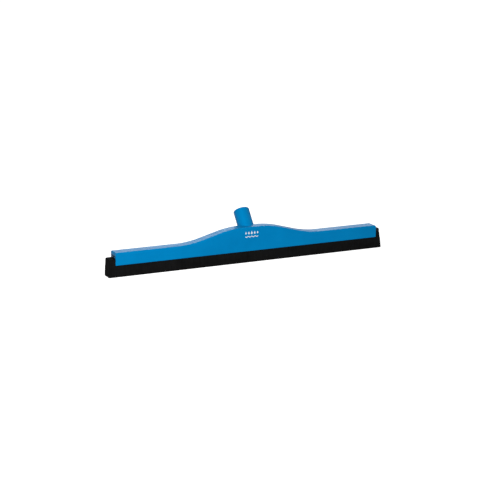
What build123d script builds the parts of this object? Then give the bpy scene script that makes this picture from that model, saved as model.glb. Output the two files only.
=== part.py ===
from build123d import *
from math import cos, radians, sin, tan
import os

# Floor squeegee head: a moulded frame with a handle socket, and a slide-in blade cassette.
# Millimetres. X runs along the blades, +Y is the back, where the socket leans, and Z = 0 is
# the floor. Everything is drawn about the middle plane between the two blades; place() then
# moves the whole head so that Y = 0 is the middle of its footprint.

# Lengths along X
blade_length = 600.0
blade_overhang = 13.7          # each blade end past the frame
frame_length = blade_length - 2 * blade_overhang

# Heights, from the floor up through the cassette to the top of the frame
slide_gap = 0.3                # running clearance between cassette and frame
blade_height = 35.6
blade_exposed = 23.4           # how far the blades stand out below the frame
crown_thick = 1.4
ledge_thick = 1.7
head_thick = 1.6
roof_thick = 7.0
crown_top = blade_height + crown_thick
ledge_bottom = crown_top + slide_gap
ledge_top = ledge_bottom + ledge_thick
head_bottom = ledge_top + slide_gap
head_top = head_bottom + head_thick
slot_roof = head_top + slide_gap
roof_top = slot_roof + roof_thick

# Widths across Y
frame_depth = 26.0
skirt_wall = 1.7
channel_half = frame_depth / 2 - skirt_wall
cassette_half = channel_half - slide_gap
head_half = 9.5
stem_half = 2.5
stem_gap = 0.5
web_thick = 1.6

# Crest: the wave that rises from the roof to the handle socket
crest_rise = 23.9
crest_span = 157.0             # half its length along X
crest_flat = 15.8              # half the level stretch on top
flank_angle = 15.2
rim_round = 2.8                # rounding of the crest's and the roof's top edges
crest_step = 0.6               # level strip between the crest's back and the roof's rounded edge
crest_depth_foot = frame_depth / 2 - rim_round - crest_step
crest_depth_top = 8.5          # how far back its leaning rear face stands at the top
front_plate = 2.8
rim_thick = 2.6
rib_thick = 2.4
rib_pitch = 30.0
core_block = 20.0              # half the solid stretch under the socket
pocket_low = 2.0               # a cored pocket is at least this tall

# Handle socket
socket_radius = 16.0
bore_radius = 11.6
bore_depth = 45.0
socket_tilt = 39.0             # degrees back from upright
socket_set_back = 5.1          # its axis stands this far behind the frame, level with the crest's top
socket_rise = 23.4             # middle of the mouth above the crest's top
mouth_y = frame_depth / 2 + socket_set_back + socket_rise * tan(radians(socket_tilt))
mouth_z = roof_top + crest_rise + socket_rise
mouth_round = 1.6
mouth_chamfer = 0.8
gusset_thick = 3.0
gusset_rise = 6.5              # its lower end above the skirt's edge

skirt_round = 0.6              # lower edges of the frame

# Grip on the rail's right end, which stops the cassette against the frame
grip_top = slot_roof + 0.8
grip_lean = 2.0
grip_round = 2.0

# Blades
lip_half = 12.2                # outer faces of the lips, below the frame
lip_gap = 2.6
lip_round = 1.2
lip_top = blade_exposed - 2 * slide_gap
shoulder_drop = 2.0            # the swollen lip narrows to the cassette over this height
web_bottom = 15.0
slit_taper = 4.0
end_lean_left = 1.2            # how far each cut end leans in towards its top
end_lean_right = 4.2
end_corner = 2.5
end_toe = 2.0

socket_back = mouth_y + socket_radius * cos(radians(socket_tilt))
blade_y = (frame_depth / 2 - socket_back) / 2


def place(shape):
    return Pos(0, blade_y, 0) * shape


def plate(outline, front, back):
    """An outline in X and Z, given as a closed curve, made solid from Y = front to Y = back."""
    face = make_face(Plane.XZ.offset(-back) * outline)
    return extrude(face, back - front, dir=(0, -1, 0))


def bar(points, length):
    """A section in Y and Z, run along X about the middle."""
    outline = Polyline(*points, close=True)
    face = make_face(Plane.YZ.offset(-length / 2) * outline)
    return extrude(face, length, dir=(1, 0, 0))


def block(x_range, y_range, z_range):
    size = [high - low for low, high in (x_range, y_range, z_range)]
    centre = [(high + low) / 2 for low, high in (x_range, y_range, z_range)]
    return Pos(*centre) * Box(*size)


def crest_half(inset):
    """Right half of the crest's top line, moved inwards by the inset, from the top to its foot."""
    run = crest_span - crest_flat
    slope = radians(flank_angle)
    radius = (run * tan(slope) - crest_rise) / (2 / cos(slope) - 2)
    top_radius = radius - inset
    foot_radius = radius + inset
    top_centre = (crest_flat, roof_top + crest_rise - radius)
    foot_centre = (crest_span, roof_top + radius)
    level = Line((0, roof_top + crest_rise - inset), (crest_flat, roof_top + crest_rise - inset))
    crown = CenterArc(top_centre, top_radius, 90, -flank_angle)
    foot = CenterArc(foot_centre, foot_radius, 270 - flank_angle, flank_angle)
    flank = Line(crown @ 1, foot @ 0)
    return [level, crown, flank, foot]


def crest_outline(inset, reach, bottom):
    """The closed shape under the crest line, level out to the reach and down to the bottom."""
    right = crest_half(inset)
    left = [mirror(edge, about=Plane.YZ) for edge in right]
    foot = right[-1] @ 1
    sides = []
    for side in (-1, 1):
        if reach > foot.X:
            sides.append(Line((side * foot.X, foot.Y), (side * reach, foot.Y)))
        sides.append(Line((side * reach, foot.Y), (side * reach, bottom)))
    base = Line((-reach, bottom), (reach, bottom))
    return Curve() + right + left + sides + [base]


def crest_rear(z):
    """How far back the crest's leaning rear face stands at a height."""
    share = (z - roof_top) / crest_rise
    return crest_depth_foot + (crest_depth_top - crest_depth_foot) * share


def top_edges(shape, axis, place_on_axis):
    """The roof's and crest's top edges that lie on a plane across X or Y."""
    def wanted(edge):
        middle = edge.center()
        on_plane = abs(abs(getattr(middle, axis)) - abs(place_on_axis)) < 0.01
        same_side = axis == "X" or getattr(middle, axis) * place_on_axis > 0
        return on_plane and same_side and middle.Z > roof_top - 0.01
    return shape.edges().filter_by(wanted)


def frame_shell():
    """The outside of the frame: a bar with the crest on it, and its rounded top edges."""
    half = frame_depth / 2
    body = plate(crest_outline(0, frame_length / 2, blade_exposed), -half, half)
    top = roof_top + crest_rise + 5
    wedge = [(crest_rear(roof_top), roof_top), (half + 5, roof_top), (half + 5, top),
             (crest_rear(top), top)]
    body -= bar(wedge, 2 * crest_span + 10)
    edges = top_edges(body, "Y", -half) + top_edges(body, "Y", half)
    edges += top_edges(body, "X", frame_length / 2)
    return fillet(edges, rim_round)


def socket_axis():
    """Direction from the socket's inside out through its mouth."""
    tilt = radians(socket_tilt)
    return Vector(0, sin(tilt), cos(tilt))


def socket_cylinder(radius, depth, past=0.0):
    """A cylinder on the socket's axis, from past the mouth down to a depth inside it."""
    axis = socket_axis()
    start = Vector(0, mouth_y, mouth_z) - axis * depth
    plane = Plane(origin=start, x_dir=(1, 0, 0), z_dir=axis)
    return extrude(plane * Circle(radius), depth + past)


def socket_body():
    """The tube's outside, run down into the roof and cut off flush with the frame's front."""
    reach = (mouth_z - slot_roof) / cos(radians(socket_tilt)) + 2 * socket_radius
    tube = socket_cylinder(socket_radius, reach)
    mouth = tube.edges().filter_by(GeomType.CIRCLE).sort_by(Axis.Z)[-1]
    tube = fillet(mouth, mouth_round)
    side = 2 * socket_radius
    keep = block((-side, side), (-frame_depth / 2, socket_back + side),
                 (slot_roof + roof_thick / 4, mouth_z + side))
    return tube & keep


def gusset():
    """The rib under the leaning tube, down the back of the frame."""
    tilt = radians(socket_tilt)
    back = frame_depth / 2
    under_y = mouth_y + socket_radius * cos(tilt)
    under_z = mouth_z - socket_radius * sin(tilt)
    drop = (bore_depth - 10) * cos(tilt)
    tip = (under_y - drop * tan(tilt), under_z - drop)
    inside = back - skirt_wall / 2
    bottom = blade_exposed + gusset_rise
    points = [(inside, bottom), (back, bottom), tip, (inside, tip[1])]
    return bar(points, gusset_thick)


def rib_places():
    first = core_block + rib_pitch
    count = int((crest_span - first) // rib_pitch) + 1
    return [first + rib_pitch * i for i in range(count)]


def crest_pockets():
    """The hollows cored out of the crest from behind, between upright ribs."""
    back = frame_depth / 2 + 1
    under = crest_outline(rim_thick, crest_span, roof_top - 2 * rim_thick)
    hollow = plate(under, -frame_depth / 2 + front_plate, back)
    reach = crest_span + 10
    hollow &= block((-reach, reach), (-frame_depth, back), (roof_top, mouth_z))
    hollow -= block((-core_block, core_block), (-frame_depth, back + 1), (0, mouth_z))
    for x in rib_places():
        for side in (-1, 1):
            span = (side * x - rib_thick / 2, side * x + rib_thick / 2)
            hollow -= block(span, (-frame_depth, back + 1), (0, mouth_z))
    return [piece for piece in hollow.solids() if piece.bounding_box().size.Z > pocket_low]


def slot_cut():
    """Everything cut out of the frame's underside: blade channel, stem gap and head slot."""
    low = blade_exposed - 1
    length = frame_length + 2
    opening = stem_half + stem_gap
    slot = head_half + slide_gap
    channel = [(-channel_half, low), (channel_half, low), (channel_half, ledge_bottom),
               (-channel_half, ledge_bottom)]
    gap = [(-opening, ledge_bottom - 1), (opening, ledge_bottom - 1), (opening, ledge_top + 1),
           (-opening, ledge_top + 1)]
    head = [(-slot, ledge_top), (slot, ledge_top), (slot, slot_roof), (-slot, slot_roof)]
    return bar(channel, length) + bar(gap, length) + bar(head, length)


def squeegee_frame():
    body = frame_shell()
    for pocket in crest_pockets():
        body -= pocket
    body += socket_body()
    body += gusset()
    body -= slot_cut()
    body -= socket_cylinder(bore_radius, bore_depth, past=5)
    lips = body.edges().filter_by(lambda e: abs(e.center().Z - blade_exposed) < 0.01
                                  and abs(abs(e.center().Y) - frame_depth / 2) < 0.01)
    body = fillet(lips, skirt_round)
    mouth = body.edges().filter_by(GeomType.CIRCLE).filter_by(
        lambda e: abs(e.radius - bore_radius) < 0.01).sort_by(Axis.Z)[-1]
    return chamfer(mouth, mouth_chamfer)


def end_grip():
    """The block on the rail's right end, over the full width of the cassette."""
    inside = frame_length / 2 + slide_gap
    outside = blade_length / 2 - end_lean_right
    outline = Polyline((inside - 1, blade_height), (outside, blade_height),
                       (outside - grip_lean, grip_top), (inside - 1, grip_top), close=True)
    grip = plate(outline, -cassette_half, cassette_half)
    rounded = grip.edges().filter_by(Axis.Y).sort_by(Axis.Z)[-2:].sort_by(Axis.X)[-1:]
    grip = fillet(rounded, grip_round)
    return grip & block((inside, outside + 1), (-frame_depth, frame_depth), (0, mouth_z))


def cassette_rail():
    """The cassette's plastic rail: T-head and stem above, crown over the blades, web between."""
    web = web_thick / 2
    points = [(-head_half, head_bottom), (-head_half, head_top), (head_half, head_top),
              (head_half, head_bottom), (stem_half, head_bottom), (stem_half, crown_top),
              (cassette_half, crown_top), (cassette_half, blade_height), (web, blade_height),
              (web, web_bottom), (-web, web_bottom), (-web, blade_height),
              (-cassette_half, blade_height), (-cassette_half, crown_top),
              (-stem_half, crown_top), (-stem_half, head_bottom)]
    return bar(points, frame_length + 2 * slide_gap) + end_grip()


def blade(side):
    """One cellular rubber strip; side is -1 for the front one and 1 for the rear one."""
    web = web_thick / 2
    slit = lip_gap / 2
    points = [(web, blade_height), (cassette_half, blade_height), (cassette_half, lip_top),
              (lip_half, lip_top - shoulder_drop), (lip_half, 0), (slit, 0),
              (slit, web_bottom - slit_taper), (web, web_bottom)]
    strip = bar([(side * y, z) for y, z in points], blade_length)
    lips = strip.edges().filter_by(Axis.X).filter_by(lambda e: e.center().Z < 0.01)
    strip = fillet(lips, lip_round)
    half = blade_length / 2
    ends = Polyline((-half, 0), (half, 0), (half, end_toe), (half - end_lean_right, blade_height),
                    (end_lean_left - half, blade_height), (-half, end_toe), close=True)
    outline = plate(ends, -frame_depth, frame_depth)
    corners = outline.edges().filter_by(Axis.Y).filter_by(lambda e: e.center().Z > blade_height - 0.01)
    return strip & fillet(corners, end_corner)


pieces = {
    "squeegee_frame": squeegee_frame(),
    "cassette_rail": cassette_rail(),
    "front_blade": blade(-1),
    "rear_blade": blade(1),
}

os.makedirs("parts", exist_ok=True)
for name, piece in pieces.items():
    export_step(place(piece), f"parts/{name}.step")
    print(name, round(piece.volume), "mm3")
print("socket mouth y", round(mouth_y + blade_y, 3), "z", mouth_z, "blade middle y", round(blade_y, 3))
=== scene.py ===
from math import cos, pi, radians, sin

import bpy
from mathutils import Matrix, Vector


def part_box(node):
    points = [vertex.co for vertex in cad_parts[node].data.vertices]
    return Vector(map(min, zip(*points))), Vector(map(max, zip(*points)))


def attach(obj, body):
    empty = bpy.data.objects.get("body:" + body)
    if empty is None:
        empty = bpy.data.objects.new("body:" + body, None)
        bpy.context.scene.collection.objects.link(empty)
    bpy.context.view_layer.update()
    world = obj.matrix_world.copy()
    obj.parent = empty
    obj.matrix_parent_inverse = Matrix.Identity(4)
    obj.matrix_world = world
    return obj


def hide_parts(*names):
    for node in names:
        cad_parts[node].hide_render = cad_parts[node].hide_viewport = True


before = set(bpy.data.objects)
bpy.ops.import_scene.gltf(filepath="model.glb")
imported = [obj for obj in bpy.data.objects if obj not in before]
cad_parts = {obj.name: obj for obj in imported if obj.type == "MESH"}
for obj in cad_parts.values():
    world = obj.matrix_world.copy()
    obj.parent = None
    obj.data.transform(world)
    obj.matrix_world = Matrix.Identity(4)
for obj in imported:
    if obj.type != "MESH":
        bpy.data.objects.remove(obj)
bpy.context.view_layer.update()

mm = 0.001
scene = bpy.context.scene
scene.view_settings.view_transform = "Standard"
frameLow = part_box("squeegee_frame")[0]
frontLow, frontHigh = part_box("front_blade")
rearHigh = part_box("rear_blade")[1]
midY = (frontLow.y + rearHigh.y) / 2      # the plane between the two blades
print("frame loaded")


# camera, to the left of the head and a little above it

cameraView = {
    "turn": 25.91, "rise": 14.32, "roll": 0.68,       # degrees
    "distance": 2.7, "lens": 101.0,
    "aim": (-13.9 * mm, 0.0, 38.8 * mm),              # from the blades' middle plane
}


def makeCamera(view):
    turn, rise, roll = (radians(view[name]) for name in ("turn", "rise", "roll"))
    back = Vector((-sin(turn) * cos(rise), -cos(turn) * cos(rise), sin(rise)))
    right = Vector((cos(turn), -sin(turn), 0))
    up = back.cross(right)
    axes = Matrix((right * cos(roll) + up * sin(roll), up * cos(roll) - right * sin(roll), back))
    aim = Vector(view["aim"]) + Vector((0, midY, 0))
    camera = bpy.data.objects.new("camera", bpy.data.cameras.new("camera"))
    camera.data.lens = view["lens"]
    camera.data.clip_end = 100
    camera.matrix_world = Matrix.Translation(aim + back * view["distance"]) @ axes.transposed().to_4x4()
    scene.collection.objects.link(camera)
    scene.camera = camera


makeCamera(cameraView)
print("camera placed")


# node helpers, for finishes and for shapes

def feed(tree, socket, value):
    if isinstance(value, bpy.types.NodeSocket):
        tree.links.new(value, socket)
    else:
        socket.default_value = value


def put(tree, kind, inputs=None, **settings):
    made = tree.nodes.new(kind)
    for name, value in settings.items():
        setattr(made, name, value)
    for name, value in (inputs or {}).items():
        feed(tree, made.inputs[name], value)
    return made


def calc(tree, operation, *values):
    made = put(tree, "ShaderNodeMath", operation=operation)
    for socket, value in zip(made.inputs, values):
        feed(tree, socket, value)
    return made.outputs[0]


def vector(tree, parts):
    return put(tree, "ShaderNodeCombineXYZ", parts).outputs[0]


def split(tree, value):
    return put(tree, "ShaderNodeSeparateXYZ", {0: value}).outputs


def position(tree):
    return put(tree, "GeometryNodeInputPosition").outputs[0]


def spread(tree, value, low, high, toLow=0.0, toHigh=1.0, easing="LINEAR"):
    ends = {"Value": value, "From Min": low, "From Max": high, "To Min": toLow, "To Max": toHigh}
    return put(tree, "ShaderNodeMapRange", ends, interpolation_type=easing).outputs["Result"]


def grain(tree, coords, size, detail=2.0, rough=0.5, stretch=(1, 1, 1), turn=(0, 0, 0)):
    # cloudy pattern; size is its patches in metres, longer along a stretched axis
    scale = tuple(1 / (size * part) for part in stretch)
    mapped = put(tree, "ShaderNodeMapping", {"Vector": coords, "Rotation": turn, "Scale": scale})
    noise = {"Vector": mapped.outputs[0], "Scale": 1.0, "Detail": detail, "Roughness": rough}
    return put(tree, "ShaderNodeTexNoise", noise).outputs["Fac"]


def mixColours(tree, amount, first, second):
    made = put(tree, "ShaderNodeMix", data_type="RGBA")
    for index, value in ((0, amount), (6, first), (7, second)):
        feed(tree, made.inputs[index], value)
    return made.outputs[2]


def bump(tree, height, depth, strength=1.0, under=None):
    made = put(tree, "ShaderNodeBump", {"Height": height, "Distance": depth, "Strength": strength})
    if under:
        feed(tree, made.inputs["Normal"], under)
    return made.outputs["Normal"]


# white studio: pale floor, a soft box before the head and one behind it. The surround is white
# to the eye and dim to the head, as with dark cards beside it, so its outlines stay crisp.

studio = {
    "seen": 1.05, "sky": 0.25, "floorWhite": 0.62, "floorGlow": 0.90, "floorSize": 60.0,
    "keyPlace": (-0.70, -1.15, 0.85), "keySize": 0.9, "keyPower": 21.0,
    "backPlace": (1.0, 2.1, 1.10), "backSize": (2.2, 1.0), "backPower": 19.0,
}


def softBox(name, place, size, power):
    lamp = bpy.data.lights.new(name, "AREA")
    lamp.shape = "RECTANGLE"
    lamp.size, lamp.size_y = size
    lamp.energy = power
    light = bpy.data.objects.new(name, lamp)
    place = Vector(place)
    facing = (place - Vector((0, midY, 0.04))).to_track_quat("Z", "Y")
    light.matrix_world = Matrix.Translation(place) @ facing.to_matrix().to_4x4()
    scene.collection.objects.link(light)


def makeStudio(sizes):
    world = bpy.data.worlds.new("whiteSurround")
    world.use_nodes = True
    tree = world.node_tree
    eye = put(tree, "ShaderNodeLightPath").outputs["Is Camera Ray"]
    sky = tree.nodes["Background"]
    sky.inputs["Color"].default_value = (1, 1, 1, 1)
    feed(tree, sky.inputs["Strength"], spread(tree, eye, 0.0, 1.0, sizes["sky"], sizes["seen"]))
    scene.world = world
    softBox("keyLight", sizes["keyPlace"], (sizes["keySize"],) * 2, sizes["keyPower"])
    softBox("backLight", sizes["backPlace"], sizes["backSize"], sizes["backPower"])

    paper = bpy.data.materials.new("floorPaper")
    paper.use_nodes = True
    tree = paper.node_tree
    shader = tree.nodes["Principled BSDF"]
    white = sizes["floorWhite"]
    shader.inputs["Base Color"].default_value = (white, white, white, 1)
    shader.inputs["Roughness"].default_value = 1.0
    shader.inputs["Specular IOR Level"].default_value = 0.0
    shader.inputs["Emission Color"].default_value = (1, 1, 1, 1)
    eye = put(tree, "ShaderNodeLightPath").outputs["Is Camera Ray"]
    feed(tree, shader.inputs["Emission Strength"], calc(tree, "MULTIPLY", eye, sizes["floorGlow"]))
    half = sizes["floorSize"] / 2
    corners = [(-half, -half, 0), (half, -half, 0), (half, half, 0), (-half, half, 0)]
    mesh = bpy.data.meshes.new("floor")
    mesh.from_pydata(corners, [], [(0, 1, 2, 3)])
    mesh.materials.append(paper)
    floor = bpy.data.objects.new("floor", mesh)
    scene.collection.objects.link(floor)


makeStudio(studio)
print("studio lit")


def newFinish(name, specular, tint=None):
    material = bpy.data.materials.new(name)
    material.use_nodes = True
    tree = material.node_tree
    shader = tree.nodes["Principled BSDF"]
    shader.inputs["Specular IOR Level"].default_value = specular
    if tint:
        shader.inputs["Specular Tint"].default_value = tint
    coords = put(tree, "ShaderNodeTexCoord").outputs["Object"]
    return material, tree, shader, coords


# finishes

def edgeSoftAndHighlight(tree, coords, radius, patch):
    # softened edges, and a mask of paler edges that is a painted highlight along them, broken into
    # patches
    soft = put(tree, "ShaderNodeBevel", {"Radius": radius}, samples=6).outputs["Normal"]
    flat = put(tree, "ShaderNodeNewGeometry").outputs["Normal"]
    lined = put(tree, "ShaderNodeVectorMath", operation="DOT_PRODUCT")
    feed(tree, lined.inputs[0], soft)
    feed(tree, lined.inputs[1], flat)
    edge = spread(tree, lined.outputs["Value"], 0.995, 0.80)
    return soft, calc(tree, "MULTIPLY", edge, spread(tree, grain(tree, coords, patch, 4.0), 0.42, 0.62))


# in each plastic, the pale colour after deep and bright is for the scuffs and for a painted highlight
# along the edges
bluePlastic = {
    "deep": (0.0, 0.195, 0.470, 1), "bright": (0.0, 0.225, 0.530, 1), "scuffAndHighlight": (0.05, 0.34, 0.62, 1),
    "tint": (0.0, 0.5, 1.0, 1), "specular": 0.35, "glossy": 0.34, "dull": 0.47,
    "mottle": 70 * mm, "speck": 0.7 * mm, "mouldGrain": 0.35 * mm, "edge": 0.8 * mm,
}
blackPlastic = {
    "deep": (0.006, 0.006, 0.007, 1), "bright": (0.012, 0.012, 0.013, 1),
    "scuffAndHighlight": (0.05, 0.05, 0.052, 1),
    "tint": (1, 1, 1, 1), "specular": 0.3, "glossy": 0.32, "dull": 0.5,
    "mottle": 40 * mm, "speck": 0.5 * mm, "mouldGrain": 0.3 * mm, "edge": 0.3 * mm,
}


def polypropylene(name, look, drawn=1.0):
    # drawn stretches the pattern along the part, as an extruded one has it
    material, tree, shader, coords = newFinish(name, look["specular"], look["tint"])
    soft, paintedEdgeHighlight = edgeSoftAndHighlight(tree, coords, look["edge"], 6 * mm)
    along = (drawn, 1, 1)
    mottle = grain(tree, coords, look["mottle"], 3.0, 0.55, along)
    speck = grain(tree, coords, look["speck"], 2.0, 0.6, along)
    flow = grain(tree, coords, 9 * mm, 4.0, 0.5, (7 * drawn, 1, 1))
    patches = spread(tree, mottle, 0.3, 0.7, 0.0, 0.7)
    shade = calc(tree, "ADD", patches, spread(tree, speck, 0.3, 0.7, -0.12, 0.12))
    colour = mixColours(tree, spread(tree, shade, 0.0, 0.7), look["deep"], look["bright"])
    hairA = grain(tree, coords, 0.25 * mm, 1.0, 0.4, (160, 1, 3), (0.0, 0.35, 0.2))
    hairB = grain(tree, coords, 0.22 * mm, 1.0, 0.4, (90, 1, 2), (0.1, -0.6, 0.0))
    hairs = calc(tree, "MAXIMUM", spread(tree, hairA, 0.70, 0.78), spread(tree, hairB, 0.71, 0.79))
    places = spread(tree, grain(tree, coords, 34 * mm, 2.0), 0.5, 0.68)
    scuff = calc(tree, "MULTIPLY", hairs, places)
    # paler in the scuffs, and along the edges as a painted highlight
    scuffsAndEdgeHighlight = calc(tree, "MAXIMUM", calc(tree, "MULTIPLY", paintedEdgeHighlight, 0.45), calc(tree, "MULTIPLY", scuff, 0.22))
    feed(tree, shader.inputs["Base Color"], mixColours(tree, scuffsAndEdgeHighlight, colour, look["scuffAndHighlight"]))
    dullness = spread(tree, flow, 0.3, 0.7, look["glossy"], look["dull"])
    dullness = calc(tree, "ADD", dullness, calc(tree, "MULTIPLY", scuff, 0.15))
    feed(tree, shader.inputs["Roughness"], dullness)
    spark = grain(tree, coords, look["mouldGrain"], 2.0, 0.6, along)
    ripple = grain(tree, coords, 14 * mm, 2.0, 0.4, (3 * drawn, 1, 1))
    height = calc(tree, "SUBTRACT", spark, calc(tree, "MULTIPLY", scuff, 0.6))
    waves = bump(tree, ripple, 0.16 * mm, 0.5, soft)
    feed(tree, shader.inputs["Normal"], bump(tree, height, 0.03 * mm, 0.5, waves))
    return material


# the darkest colour here fills the pores: painted shade in them
rubberLook = {
    "deep": (0.0025, 0.0025, 0.0026, 1), "bright": (0.0085, 0.0085, 0.0085, 1),
    "bloom": (0.020, 0.020, 0.020, 1),
    "shadedPit": (0.0012, 0.0012, 0.0012, 1), "specular": 0.06, "skinPore": 0.9 * mm, "cutPore": 1.5 * mm,
}


def pores(tree, coords, size, share):
    # round pits, in the given share of the cells
    mapped = put(tree, "ShaderNodeMapping", {"Vector": coords, "Scale": (1 / size,) * 3})
    cells = put(tree, "ShaderNodeTexVoronoi",
                {"Vector": mapped.outputs[0], "Scale": 1.0, "Randomness": 1.0})
    pick = put(tree, "ShaderNodeSeparateColor", {"Color": cells.outputs["Color"]})
    radius = spread(tree, pick.outputs["Red"], 1 - share, 1.0, 0.0, 0.42)
    inside = calc(tree, "SUBTRACT", radius, cells.outputs["Distance"])
    return spread(tree, inside, -0.03, 0.10, easing="SMOOTHSTEP")


def cellularRubber(look):
    material, tree, shader, coords = newFinish("cellularRubber", look["specular"])
    cut = put(tree, "ShaderNodeAttribute", attribute_name="cutEnd").outputs["Fac"]
    skin = pores(tree, coords, look["skinPore"], 0.30)
    fine = pores(tree, coords, look["skinPore"] * 0.45, 0.45)
    opened = pores(tree, coords, look["cutPore"], 0.75)
    closed = calc(tree, "MAXIMUM", skin, calc(tree, "MULTIPLY", fine, 0.7))
    # pits are painted darker, as painted shade in the pores, and the bump below also sinks them
    shadedPit = calc(tree, "MAXIMUM", closed, calc(tree, "MULTIPLY", opened, cut))
    cloud = grain(tree, coords, 22 * mm, 4.0, 0.6, (2, 1, 1))
    streak = grain(tree, coords, 1.4 * mm, 3.0, 0.6, (1, 1, 14))
    tone = calc(tree, "MULTIPLY_ADD", streak, 0.45, calc(tree, "MULTIPLY", cloud, 0.55))
    colour = mixColours(tree, spread(tree, tone, 0.35, 0.65), look["deep"], look["bright"])
    bloomed = spread(tree, grain(tree, coords, 5 * mm, 6.0, 0.7, (3, 1, 1)), 0.60, 0.78, 0.0, 0.45)
    colour = mixColours(tree, bloomed, colour, look["bloom"])
    feed(tree, shader.inputs["Base Color"], mixColours(tree, shadedPit, colour, look["shadedPit"]))
    feed(tree, shader.inputs["Roughness"], spread(tree, cloud, 0.3, 0.7, 0.72, 0.92))
    rind = grain(tree, coords, 0.5 * mm, 3.0, 0.7)
    height = calc(tree, "SUBTRACT", calc(tree, "MULTIPLY", rind, 0.25), shadedPit)
    waves = bump(tree, streak, 0.12 * mm, 0.6)
    feed(tree, shader.inputs["Normal"], bump(tree, height, 0.25 * mm, 0.8, waves))
    return material


inkLook = {"white": (0.80, 0.83, 0.86, 1), "thin": (0.45, 0.62, 0.78, 1), "specular": 0.3}


def whiteInk(look):
    # pad-printed ink, a little thin in spots
    material, tree, shader, coords = newFinish("whiteInk", look["specular"])
    spots = spread(tree, grain(tree, coords, 0.5 * mm, 4.0, 0.6), 0.60, 0.75, 0.0, 0.7)
    cloud = spread(tree, grain(tree, coords, 6 * mm, 3.0), 0.35, 0.7, 0.0, 0.25)
    feed(tree, shader.inputs["Base Color"],
         mixColours(tree, calc(tree, "MAXIMUM", spots, cloud), look["white"], look["thin"]))
    feed(tree, shader.inputs["Roughness"], spread(tree, spots, 0.0, 0.7, 0.45, 0.65))
    feed(tree, shader.inputs["Normal"], bump(tree, grain(tree, coords, 0.3 * mm, 2.0), 0.02 * mm, 0.6))
    return material


frameBlue = polypropylene("bluePolypropylene", bluePlastic)
railBlack = polypropylene("blackPolypropylene", blackPlastic, 12.0)
rubberBlack = cellularRubber(rubberLook)
inkWhite = whiteInk(inkLook)
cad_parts["squeegee_frame"].material_slots[0].material = frameBlue
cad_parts["cassette_rail"].material_slots[0].material = railBlack
print("finishes made")


# shape trees

def newTree(name, labels):
    tree = bpy.data.node_groups.new(name, "GeometryNodeTree")
    tree.interface.new_socket("Geometry", in_out="OUTPUT", socket_type="NodeSocketGeometry")
    kinds = {int: "NodeSocketInt", bpy.types.Material: "NodeSocketMaterial"}
    for label, value in labels.items():
        kind = kinds.get(type(value), "NodeSocketFloat")
        tree.interface.new_socket(label, in_out="INPUT", socket_type=kind)
    return tree, tree.nodes.new("NodeGroupInput").outputs


def step(tree, kind, geometry, inputs=None, **settings):
    made = put(tree, kind, inputs, **settings)
    tree.links.new(geometry, made.inputs[0])
    return made.outputs[0]


def closeTree(tree, geometry, finish):
    real = step(tree, "GeometryNodeRealizeInstances", geometry)
    painted = step(tree, "GeometryNodeSetMaterial", real, {"Material": finish})
    tree.links.new(painted, tree.nodes.new("NodeGroupOutput").inputs[0])


def grow(name, tree, sizes, body):
    holder = bpy.data.objects.new(name + "Seed", bpy.data.meshes.new(name + "Seed"))
    scene.collection.objects.link(holder)
    shaper = holder.modifiers.new("shape", "NODES")
    shaper.node_group = tree
    for item in tree.interface.items_tree:
        if item.in_out == "INPUT":
            shaper[item.identifier] = sizes[item.name]
    mesh = bpy.data.meshes.new_from_object(holder.evaluated_get(bpy.context.evaluated_depsgraph_get()))
    bpy.data.objects.remove(holder)
    mesh.name = name
    piece = bpy.data.objects.new(name, mesh)
    scene.collection.objects.link(piece)
    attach(piece, body)
    return piece


def joined(tree, *shapes):
    join = tree.nodes.new("GeometryNodeJoinGeometry")
    for shape in shapes:
        tree.links.new(shape, join.inputs[0])
    return join.outputs[0]


def ridgeAlong(tree, path, proud, half):
    # a low rounded ridge along a path, half sunk in the wall, fading out at both ends
    part = put(tree, "GeometryNodeSplineParameter").outputs["Factor"]
    ends = calc(tree, "MINIMUM", part, calc(tree, "SUBTRACT", 1.0, part))
    fade = spread(tree, ends, 0.0, 0.04, 0.15, 1.0, "SMOOTHSTEP")
    path = step(tree, "GeometryNodeSetCurveRadius", path, {"Radius": fade})
    path = step(tree, "GeometryNodeSetCurveNormal", path, {}, mode="Z_UP")
    circle = put(tree, "GeometryNodeCurvePrimitiveCircle", {"Resolution": 12, "Radius": 1.0}).outputs[0]
    flat = vector(tree, {"X": proud, "Y": half, "Z": 1.0})
    section = step(tree, "GeometryNodeTransform", circle, {"Scale": flat})
    ridge = put(tree, "GeometryNodeCurveToMesh",
                {"Curve": path, "Profile Curve": section, "Fill Caps": True})
    return ridge.outputs[0]


# blades: two strips of cellular rubber, swollen below the frame and cut off at a lean

bladeShape = {
    "Web gap": 0.8 * mm, "Slit gap": 1.3 * mm, "Slit top": 11 * mm, "Web foot": 15 * mm,
    "Shoulder foot": 20.5 * mm, "Shoulder top": 22.8 * mm, "Top half": 11 * mm,
    "Left lean": 1.2 * mm, "Right lean": 4.2 * mm, "End corner": 2.5 * mm, "End toe": 2 * mm,
    "End crowding": 0.65,
    "Lip belly": 0.2 * mm, "Waviness": 0.15 * mm, "Cells": 0.05 * mm,
    "Steps along": 300, "Steps across": 10, "Steps up": 30, "Seed": 4,
}


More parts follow.
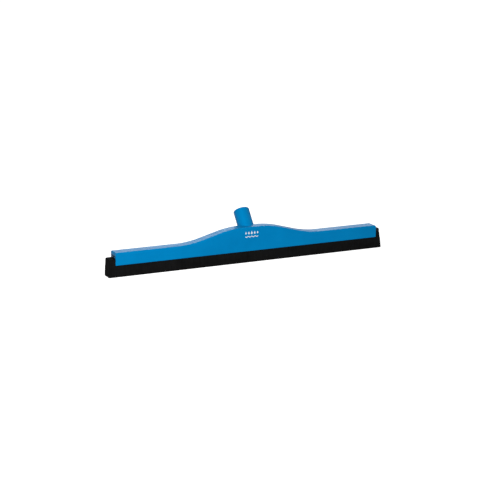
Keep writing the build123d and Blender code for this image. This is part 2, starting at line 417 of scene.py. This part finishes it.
def bladeTree(labels):
    tree, given = newTree("bladeShape", labels)
    grid = put(tree, "GeometryNodeMeshCube", {
        "Size": vector(tree, {"X": given["Length"], "Y": 1.0, "Z": given["Height"]}),
        "Vertices X": given["Steps along"], "Vertices Y": given["Steps across"],
        "Vertices Z": given["Steps up"],
    }).outputs[0]
    along, across, lifted = split(tree, position(tree))
    up = calc(tree, "MULTIPLY_ADD", given["Height"], 0.5, lifted)
    inner = spread(tree, up, given["Slit top"], given["Web foot"], given["Slit gap"], given["Web gap"])
    outer = spread(tree, up, given["Shoulder foot"], given["Shoulder top"],
                   given["Lip half"], given["Top half"], "SMOOTHSTEP")
    middle = calc(tree, "DIVIDE", up, given["Shoulder foot"])
    hollow = calc(tree, "POWER", calc(tree, "MULTIPLY_ADD", middle, 2.0, -1.0), 2.0)
    hollow = calc(tree, "MULTIPLY", calc(tree, "MINIMUM", hollow, 1.0), given["Lip belly"])
    outer = calc(tree, "SUBTRACT", outer, hollow)
    share = calc(tree, "MULTIPLY_ADD", across, given["Side"], 0.5)
    thick = calc(tree, "MULTIPLY", share, calc(tree, "SUBTRACT", outer, inner))
    newY = calc(tree, "MULTIPLY", calc(tree, "ADD", inner, thick), given["Side"])
    onRight = calc(tree, "GREATER_THAN", along, 0.0)
    fullLean = spread(tree, onRight, 0.0, 1.0, given["Left lean"], given["Right lean"])
    lean = spread(tree, up, given["End toe"], given["Height"], 0.0, fullLean)
    over = calc(tree, "ADD", calc(tree, "SUBTRACT", up, given["Height"]), given["End corner"])
    over = calc(tree, "MAXIMUM", over, 0.0)
    square = calc(tree, "POWER", given["End corner"], 2.0)
    square = calc(tree, "SUBTRACT", square, calc(tree, "POWER", over, 2.0))
    reach = calc(tree, "SQRT", calc(tree, "MAXIMUM", square, 0.0))
    corner = calc(tree, "SUBTRACT", given["End corner"], reach)
    halfLength = calc(tree, "MULTIPLY", given["Length"], 0.5)
    endHalf = calc(tree, "SUBTRACT", calc(tree, "SUBTRACT", halfLength, lean), corner)
    far = calc(tree, "DIVIDE", along, halfLength)
    crowded = calc(tree, "SINE", calc(tree, "MULTIPLY", far, pi / 2))      # finer steps near the ends
    far = calc(tree, "MULTIPLY_ADD", calc(tree, "SUBTRACT", crowded, far), given["End crowding"], far)
    newX = calc(tree, "MULTIPLY", far, endHalf)
    shaped = vector(tree, {"X": newX, "Y": newY, "Z": up})
    strip = step(tree, "GeometryNodeSetPosition", grid, {"Position": shaped})
    strip = step(tree, "GeometryNodeSubdivisionSurface", strip, {"Level": 1, "Edge Crease": 0.5})

    # the lips wave a little along their length, and the rind is uneven
    spot = position(tree)
    free = spread(tree, split(tree, spot)[2], 0.0, given["Shoulder foot"], 1.0, 0.0)
    seeded = calc(tree, "MULTIPLY", given["Seed"], 7.3)
    wave = put(tree, "ShaderNodeTexNoise", {"Vector": spot, "W": seeded, "Scale": 22.0, "Detail": 1.0},
               noise_dimensions="4D").outputs["Fac"]
    sway = calc(tree, "MULTIPLY", spread(tree, wave, 0.3, 0.7, -1.0, 0.0), free)
    sway = calc(tree, "MULTIPLY", sway, given["Waviness"])
    sway = calc(tree, "MULTIPLY", sway, given["Side"])
    strip = step(tree, "GeometryNodeSetPosition", strip,
                 {"Offset": vector(tree, {"Y": sway})})
    facing = put(tree, "GeometryNodeInputNormal").outputs[0]
    rind = put(tree, "ShaderNodeTexNoise", {"Vector": spot, "W": seeded, "Scale": 420.0, "Detail": 2.0},
               noise_dimensions="4D").outputs["Fac"]
    sunk = calc(tree, "MULTIPLY", spread(tree, rind, 0.3, 0.7, -1.0, 0.0), given["Cells"])
    push = put(tree, "ShaderNodeVectorMath", operation="SCALE")
    tree.links.new(facing, push.inputs[0])
    tree.links.new(sunk, push.inputs["Scale"])
    strip = step(tree, "GeometryNodeSetPosition", strip, {"Offset": push.outputs[0]})
    sideways = calc(tree, "ABSOLUTE", split(tree, facing)[0])
    strip = step(tree, "GeometryNodeStoreNamedAttribute", strip,
                 {"Name": "cutEnd", "Value": spread(tree, sideways, 0.6, 0.9)},
                 data_type="FLOAT", domain="POINT")
    moved = vector(tree, {"Y": given["Middle"]})
    strip = step(tree, "GeometryNodeTransform", strip, {"Translation": moved})
    strip = step(tree, "GeometryNodeSetShadeSmooth", strip)
    closeTree(tree, strip, given["Finish"])
    return tree


def makeBlades():
    common = dict(bladeShape, Length=frontHigh.x - frontLow.x, Height=frontHigh.z - frontLow.z,
                  Middle=midY, Finish=rubberBlack, Side=1.0)
    common["Lip half"] = rearHigh.y - midY
    tree = bladeTree(common)
    for name, side, cadNode in (("frontBlade", -1.0, "front_blade"), ("rearBlade", 1.0, "rear_blade")):
        sizes = dict(common, Side=side, Seed=common["Seed"] + int(side))
        strip = grow(name, tree, sizes, "cassette")
        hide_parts(cadNode)


makeBlades()
print("blades grown")


# handle socket: coarse thread in its bore, and the mould's parting seams down its sides

socketShape = {
    "Tilt": 39.0, "Mouth height": 95.5 * mm,
    "Mouth back": 37.049 * mm,                # from the blades' middle plane
    "Bore": 11.6 * mm, "Outside": 16.0 * mm, "Pitch": 5.0 * mm, "Turns": 5.5, "Lead in": 5 * mm,
    "Ridge half": 1.25 * mm, "Ridge rise": 1.0 * mm,
    "Seam half": 0.25 * mm, "Seam sunk": 0.15 * mm, "Seam length": 26 * mm,
}


seamInset = 2 * mm      # the seams end this far below the mouth


def socketTree(labels, seams):
    tree, given = newTree("socketSeams" if seams else "socketThread", labels)
    if seams:
        wall = calc(tree, "SUBTRACT", given["Outside"], given["Seam sunk"])
        low = vector(tree, {"X": wall, "Z": calc(tree, "MULTIPLY", given["Seam length"], -1.0)})
        high = vector(tree, {"X": wall, "Z": -seamInset})
        line = put(tree, "GeometryNodeCurvePrimitiveLine", {"Start": low, "End": high}).outputs[0]
        line = step(tree, "GeometryNodeResampleCurve", line, {"Count": 30})
        one = ridgeAlong(tree, line, given["Seam half"], given["Seam half"])
        turned = step(tree, "GeometryNodeTransform", one, {"Rotation": (0, 0, pi)})
        shape = joined(tree, one, turned)
    else:
        height = calc(tree, "MULTIPLY", given["Turns"], given["Pitch"])
        path = put(tree, "GeometryNodeCurveSpiral", {
            "Resolution": 48, "Rotations": given["Turns"], "Start Radius": given["Bore"],
            "End Radius": given["Bore"], "Height": height, "Reverse": False}).outputs[0]
        drop = calc(tree, "MULTIPLY", calc(tree, "ADD", height, given["Lead in"]), -1.0)
        path = step(tree, "GeometryNodeTransform", path,
                    {"Translation": vector(tree, {"Z": drop})})
        shape = ridgeAlong(tree, path, given["Ridge rise"], given["Ridge half"])
    tilt = calc(tree, "MULTIPLY", given["Tilt"], -pi / 180)
    leant = vector(tree, {"X": tilt})
    mouth = vector(tree, {"Y": given["Mouth back"], "Z": given["Mouth height"]})
    shape = step(tree, "GeometryNodeTransform", shape, {"Translation": mouth, "Rotation": leant})
    shape = step(tree, "GeometryNodeSetShadeSmooth", shape)
    closeTree(tree, shape, given["Finish"])
    return tree


def makeSocketDetails():
    sizes = dict(socketShape, Finish=frameBlue)
    sizes["Mouth back"] += midY
    grow("socketThread", socketTree(sizes, False), sizes, "frame")
    grow("socketSeams", socketTree(sizes, True), sizes, "frame")


makeSocketDetails()
print("socket detailed")


# printed sign on the crest: a row of water drops over ripples

signShape = {
    "Height": 57.3 * mm, "Ink": 0.07 * mm, "Drops": 5, "Drop pitch": 6.4 * mm, "Drop half": 2.2 * mm,
    "Drop rise": 2.6 * mm, "Ripple length": 28 * mm, "Ripple half": 0.75 * mm, "Ripple wave": 0.9 * mm,
    "Ripple pitch": 7.5 * mm, "Ripple drop": 4.6 * mm,
}


dropPoint = 0.72        # how much a drop narrows to its tip
dropShrink = 0.10       # how much smaller each drop is than its inner neighbour


def signTree(labels):
    tree, given = newTree("waterSign", labels)
    ball = put(tree, "GeometryNodeMeshUVSphere", {"Segments": 20, "Rings": 14, "Radius": 1.0}).outputs[0]
    x, y, z = split(tree, position(tree))
    tip = calc(tree, "MAXIMUM", z, 0.0)
    narrow = calc(tree, "SUBTRACT", 1.0, calc(tree, "MULTIPLY", tip, dropPoint))
    dropX = calc(tree, "MULTIPLY", calc(tree, "MULTIPLY", x, narrow), given["Drop half"])
    dropY = calc(tree, "MULTIPLY", y, given["Ink"])
    drawnOut = calc(tree, "MULTIPLY", z, calc(tree, "ADD", tip, 1.0))
    dropZ = calc(tree, "MULTIPLY", drawnOut, given["Drop half"])
    drop = step(tree, "GeometryNodeSetPosition", ball,
                {"Position": vector(tree, {"X": dropX, "Y": dropY, "Z": dropZ})})
    middle = calc(tree, "MULTIPLY", calc(tree, "SUBTRACT", given["Drops"], 1), 0.5)
    first = calc(tree, "MULTIPLY", calc(tree, "MULTIPLY", middle, given["Drop pitch"]), -1.0)
    row = put(tree, "GeometryNodeMeshLine", {
        "Count": given["Drops"],
        "Start Location": vector(tree, {"X": first, "Z": given["Drop rise"]}),
        "Offset": vector(tree, {"X": given["Drop pitch"]})}).outputs[0]
    place = put(tree, "GeometryNodeInputIndex").outputs[0]
    away = calc(tree, "ABSOLUTE", calc(tree, "SUBTRACT", place, middle))
    drops = put(tree, "GeometryNodeInstanceOnPoints", {
        "Points": row, "Instance": drop,
        "Scale": calc(tree, "MULTIPLY_ADD", away, -dropShrink, 1.0)}).outputs[0]
    half = calc(tree, "MULTIPLY", given["Ripple length"], 0.5)
    line = put(tree, "GeometryNodeCurvePrimitiveLine", {
        "Start": vector(tree, {"X": calc(tree, "MULTIPLY", half, -1.0)}),
        "End": vector(tree, {"X": half})}).outputs[0]
    line = step(tree, "GeometryNodeResampleCurve", line, {"Count": 90})
    spot = split(tree, position(tree))[0]
    phase = calc(tree, "MULTIPLY", calc(tree, "DIVIDE", spot, given["Ripple pitch"]), 2 * pi)
    rise = calc(tree, "MULTIPLY", calc(tree, "COSINE", phase), given["Ripple wave"])
    rise = calc(tree, "SUBTRACT", rise, given["Ripple drop"])
    line = step(tree, "GeometryNodeSetPosition", line,
                {"Offset": vector(tree, {"Z": rise})})
    ripple = ridgeAlong(tree, line, given["Ink"], given["Ripple half"])
    wall = vector(tree, {"Y": given["Wall"], "Z": given["Height"]})
    sign = step(tree, "GeometryNodeTransform", joined(tree, drops, ripple), {"Translation": wall})
    sign = step(tree, "GeometryNodeSetShadeSmooth", sign)
    closeTree(tree, sign, given["Finish"])
    return tree


signSizes = dict(signShape, Wall=frameLow.y, Finish=inkWhite)
grow("waterSign", signTree(signSizes), signSizes, "frame")
print("sign printed")


# ejector pin marks on the floors of the crest's hollows

pinShape = {
    "Pins": 3, "First": 34.4 * mm, "Pitch": 30.3 * mm, "Radius": 2.4 * mm, "Proud": 0.3 * mm,
    "Height": 51.5 * mm, "Rise": 0.09, "Plate": 2.8 * mm,
}


pinTaper = 0.93         # share of a mark's radius left at its face


def pinTree(labels):
    tree, given = newTree("pinMarks", labels)
    disc = put(tree, "GeometryNodeMeshCone", {
        "Vertices": 28, "Side Segments": 1, "Fill Segments": 1, "Radius Bottom": given["Radius"],
        "Radius Top": calc(tree, "MULTIPLY", given["Radius"], pinTaper),
        "Depth": calc(tree, "MULTIPLY", given["Proud"], 2.0)})
    disc = step(tree, "GeometryNodeTransform", disc.outputs[0], {"Rotation": (-pi / 2, 0, 0)})
    steps = calc(tree, "SUBTRACT", given["Pins"], 1)
    last = calc(tree, "MULTIPLY_ADD", given["Pitch"], steps, given["First"])
    rows = []
    for side in (-1.0, 1.0):
        start = vector(tree, {"X": calc(tree, "MULTIPLY", given["First"], side)})
        pitch = vector(tree, {"X": calc(tree, "MULTIPLY", given["Pitch"], side)})
        row = put(tree, "GeometryNodeMeshLine",
                  {"Count": given["Pins"], "Start Location": start, "Offset": pitch})
        rows.append(row.outputs[0])
    spot = split(tree, position(tree))[0]
    left = calc(tree, "SUBTRACT", last, calc(tree, "ABSOLUTE", spot))
    lift = vector(tree, {
        "Y": given["Wall"], "Z": calc(tree, "MULTIPLY_ADD", left, given["Rise"], given["Height"])})
    places = step(tree, "GeometryNodeSetPosition", joined(tree, *rows), {"Offset": lift})
    pins = put(tree, "GeometryNodeInstanceOnPoints", {"Points": places, "Instance": disc}).outputs[0]
    closeTree(tree, pins, given["Finish"])
    return tree


pinSizes = dict(pinShape, Wall=frameLow.y + pinShape["Plate"], Finish=frameBlue)
del pinSizes["Plate"]
grow("pinMarks", pinTree(pinSizes), pinSizes, "frame")
print("pin marks set")


# finger ribs across the top of the rail's grip

ribShape = {
    "Ribs": 3, "First": 288.4 * mm, "Pitch": 1.6 * mm, "Length": 17 * mm, "Half": 0.4 * mm,
    "Proud": 0.35 * mm,
}


def ribTree(labels):
    tree, given = newTree("gripRibs", labels)
    half = calc(tree, "MULTIPLY", given["Length"], 0.5)
    line = put(tree, "GeometryNodeCurvePrimitiveLine", {
        "Start": vector(tree, {"Y": calc(tree, "MULTIPLY", half, -1.0)}),
        "End": vector(tree, {"Y": half})}).outputs[0]
    line = step(tree, "GeometryNodeResampleCurve", line, {"Count": 40})
    rib = ridgeAlong(tree, line, given["Half"], given["Proud"])
    row = put(tree, "GeometryNodeMeshLine", {
        "Count": given["Ribs"],
        "Start Location": vector(tree, {"X": given["First"], "Y": given["Middle"], "Z": given["Top"]}),
        "Offset": vector(tree, {"X": given["Pitch"]})}).outputs[0]
    ribs = put(tree, "GeometryNodeInstanceOnPoints", {"Points": row, "Instance": rib}).outputs[0]
    ribs = step(tree, "GeometryNodeSetShadeSmooth", ribs)
    closeTree(tree, ribs, given["Finish"])
    return tree


ribSizes = dict(ribShape, Middle=midY, Top=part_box("cassette_rail")[1].z, Finish=railBlack)
grow("gripRibs", ribTree(ribSizes), ribSizes, "cassette")
print("grip ribbed")
